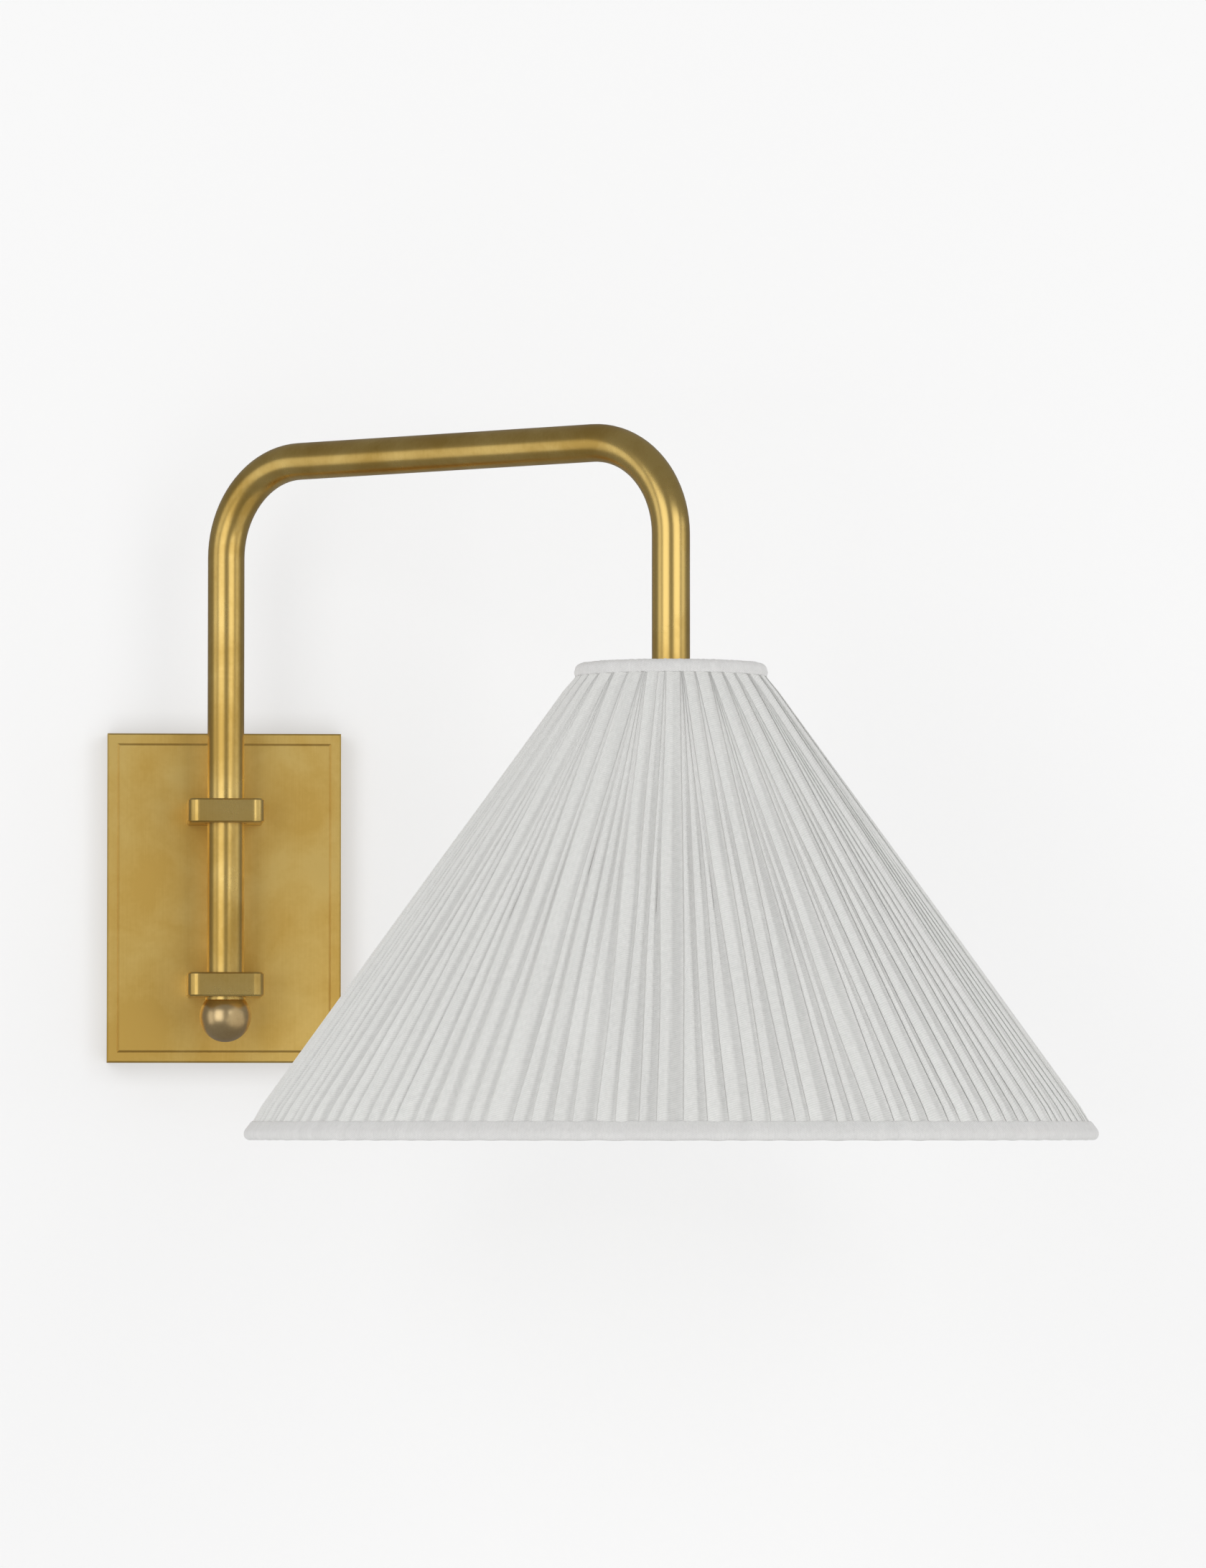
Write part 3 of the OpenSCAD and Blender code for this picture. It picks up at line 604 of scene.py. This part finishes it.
def brushed_plate_painted_bright():
    """The plate's brass, more matt than the tube's; its paler colours are painted light, a
    brightened copy of the brass.
    """
    return aged_brass("brushed_plate_painted_bright", (1400, 1400, 30), 0.40,
                      gold=(0.97, 0.685, 0.215), patina=(0.82, 0.53, 0.13))


def brown_ball():
    """The ball's own brass, browner than the tube's."""
    return aged_brass("brown_ball", (900, 900, 900), 0.31,
                      gold=(0.76, 0.57, 0.30), patina=(0.60, 0.42, 0.20))


def dress(materials, own):
    """Gives every CAD node its own finish, or that of the slot the record names for it."""
    for part in frame["record"]["subparts"]:
        node = frame["nodes"][part["node"]]
        node.data.materials.clear()
        node.data.materials.append(own.get(part["node"], materials[part["material_slot"]]))


# ---------------------------------------------------------------- edges of the metal

SOFT_EDGES = {"backplate": 0.55 * MM, "upper_knuckle": 0.4 * MM, "lower_knuckle": 0.4 * MM}
SHARP = math.radians(28)       # an edge that turns more than this is softened


def soften_edges():
    """Rounds the sharp edges of the plate and knuckles a little, so that they catch the light."""
    for node, width in SOFT_EDGES.items():
        bevel = frame["nodes"][node].modifiers.new("soft_edges", "BEVEL")
        bevel.width = width
        bevel.segments = 3
        bevel.limit_method = "ANGLE"
        bevel.angle_limit = SHARP
        bevel.harden_normals = True


# ---------------------------------------------------------------- stage, light, camera

def backdrop_material(name, glow):
    """Pale surface seen from its front only; from behind it is clear. Its glow is lowered
    near the object: painted shade in the corner that it makes with the object."""
    material = bpy.data.materials.new(name)
    material.use_nodes = True
    tree = material.node_tree
    tree.nodes.clear()
    output = tree.nodes.new("ShaderNodeOutputMaterial")
    diffuse = tree.nodes.new("ShaderNodeBsdfDiffuse")
    diffuse.inputs["Color"].default_value = PAINT
    emission = tree.nodes.new("ShaderNodeEmission")
    emission.inputs["Color"].default_value = (1, 1, 1, 1)
    # Painted shade: ambient occlusion lowers the glow near the object
    corner = tree.nodes.new("ShaderNodeAmbientOcclusion")
    corner.inputs["Distance"].default_value = PAINTED_SHADE_REACH
    strength = tree.nodes.new("ShaderNodeMapRange")
    strength.inputs["To Min"].default_value = PAINTED_SHADE_SHARE * glow
    strength.inputs["To Max"].default_value = glow
    tree.links.new(corner.outputs["AO"], strength.inputs["Value"])
    tree.links.new(strength.outputs["Result"], emission.inputs["Strength"])
    both = tree.nodes.new("ShaderNodeAddShader")
    clear = tree.nodes.new("ShaderNodeBsdfTransparent")
    facing = tree.nodes.new("ShaderNodeNewGeometry")
    mix = tree.nodes.new("ShaderNodeMixShader")
    tree.links.new(diffuse.outputs[0], both.inputs[0])
    tree.links.new(emission.outputs[0], both.inputs[1])
    tree.links.new(facing.outputs["Backfacing"], mix.inputs[0])
    tree.links.new(both.outputs[0], mix.inputs[1])
    tree.links.new(clear.outputs[0], mix.inputs[2])
    tree.links.new(mix.outputs[0], output.inputs["Surface"])
    return material


def stage_plane(name, corners, material):
    """A plane that isn't mirrored in the metal."""
    mesh = bpy.data.meshes.new(name)
    mesh.from_pydata(corners, [], [(0, 1, 2, 3)])
    plane = bpy.data.objects.new(name, mesh)
    plane.data.materials.append(material)
    plane.visible_glossy = False
    bpy.context.scene.collection.objects.link(plane)


def make_stage():
    """Floor and wall. The object's back is against the wall."""
    half = STAGE_SIZE / 2
    wall_y = CAD_BOX[1][1] + WALL_GAP
    stage_plane("floor", [(-half, -STAGE_SIZE, FLOOR_Z), (half, -STAGE_SIZE, FLOOR_Z),
                          (half, half, FLOOR_Z), (-half, half, FLOOR_Z)],
                backdrop_material("floor_glow_and_shade", FLOOR_GLOW))
    stage_plane("wall", [(-half, wall_y, FLOOR_Z), (half, wall_y, FLOOR_Z),
                         (half, wall_y, half), (-half, wall_y, half)],
                backdrop_material("wall_glow_and_shade", WALL_GLOW))


def make_world():
    """A plain pale room that is dimmer as light and in reflections than to the eye."""
    world = bpy.data.worlds.new("studio")
    bpy.context.scene.world = world
    world.use_nodes = True
    tree = world.node_tree
    background = tree.nodes["Background"]
    background.inputs["Color"].default_value = ROOM_COLOUR
    path = tree.nodes.new("ShaderNodeLightPath")
    bounced = tree.nodes.new("ShaderNodeMapRange")
    bounced.inputs["To Min"].default_value = ROOM_LIGHT
    bounced.inputs["To Max"].default_value = MIRRORED_ROOM
    strength = tree.nodes.new("ShaderNodeMapRange")
    strength.inputs["To Max"].default_value = SEEN_ROOM
    tree.links.new(path.outputs["Is Glossy Ray"], bounced.inputs["Value"])
    tree.links.new(path.outputs["Is Camera Ray"], strength.inputs["Value"])
    tree.links.new(bounced.outputs["Result"], strength.inputs["To Min"])
    tree.links.new(strength.outputs["Result"], background.inputs["Strength"])
    world.cycles.sampling_method = "NONE"


# Brass nodes that have lights of their own
POLISHED = ("backplate", "upper_knuckle", "lower_knuckle", "arm_tube", "finial_stud",
            "finial_washer", "ball_finial", "drop_bushing")


def light_group(name, state):
    """Collection of the polished nodes, for a light that shines on them alone (INCLUDE) or
    on everything else (EXCLUDE)."""
    group = bpy.data.collections.new(name)
    for node in POLISHED:
        group.objects.link(frame["nodes"][node])
    for entry in group.collection_objects:
        entry.light_linking.link_state = state
    return group


def make_panel(name, side, kind, mirrored=True):
    """Area light on the left (-1) or the right (1), aimed at the object's middle.
    One that isn't mirrored gives light and doesn't show in the metal."""
    turn = side * kind["turn"]
    width, height = kind["size"]
    place = PANEL_TARGET + Vector((math.sin(turn), -math.cos(turn), 0)) * PANEL_REACH
    place.z += kind["height"]
    light = bpy.data.lights.new(name, "AREA")
    light.shape = "RECTANGLE"
    light.size = width
    light.size_y = height
    light.energy = kind["glow"] * math.pi * width * height
    lamp = bpy.data.objects.new(name, light)
    lamp.location = place
    lamp.rotation_euler = (PANEL_TARGET - place).to_track_quat("-Z", "Y").to_euler()
    lamp.visible_camera = False
    lamp.visible_glossy = mirrored
    bpy.context.scene.collection.objects.link(lamp)
    return lamp


def make_lights():
    """On each side a softbox for everything but the brass, a fill for everything, and two
    panels for the brass alone, which the shade doesn't hide from it."""
    spared = light_group("not_brass", "EXCLUDE")
    brass = light_group("brass_only", "INCLUDE")
    for side, name in ((-1, "left"), (1, "right")):
        softbox = make_panel("softbox_" + name, side, SOFTBOX)
        softbox.light_linking.receiver_collection = spared
        make_panel("fill_" + name, side, FILL, mirrored=False)
        for kind, settings in (("glint_", GLINT), ("side_", SIDE)):
            panel = make_panel(kind + name, side, settings)
            panel.light_linking.receiver_collection = brass
            panel.light_linking.blocker_collection = brass


def make_camera():
    lens = bpy.data.cameras.new("camera")
    lens.lens = CAMERA_LENS
    lens.sensor_width = CAMERA_SENSOR
    lens.clip_end = 60
    camera = bpy.data.objects.new("camera", lens)
    camera.location = CAMERA_PLACE
    camera.rotation_euler = (CAMERA_PITCH, 0, CAMERA_YAW)
    bpy.context.scene.collection.objects.link(camera)
    bpy.context.scene.camera = camera


make_camera()
make_world()
make_stage()
bpy.context.scene.view_settings.view_transform = "Standard"

make_lights()
materials = finishes()
# The plate's brass is a brightened copy of the tube's: painted light
dress(materials, own={"backplate": brushed_plate_painted_bright(), "ball_finial": brown_ball()})
soften_edges()
cloth = {
    "silk_cover": [make_cover()],
    "silk_lining": [make_lining()],
    "silk_binding": [make_tape("top_tape", "top_binding", 0.0, -1, TOP_TAPE, seed=21),
                     make_tape("foot_tape", "bottom_binding", SLANT, 1, FOOT_TAPE, seed=22)],
}
for slot_name, group in cloth.items():
    for piece in group:
        piece.data.materials.append(materials[slot_name])
        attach(piece, "arm")
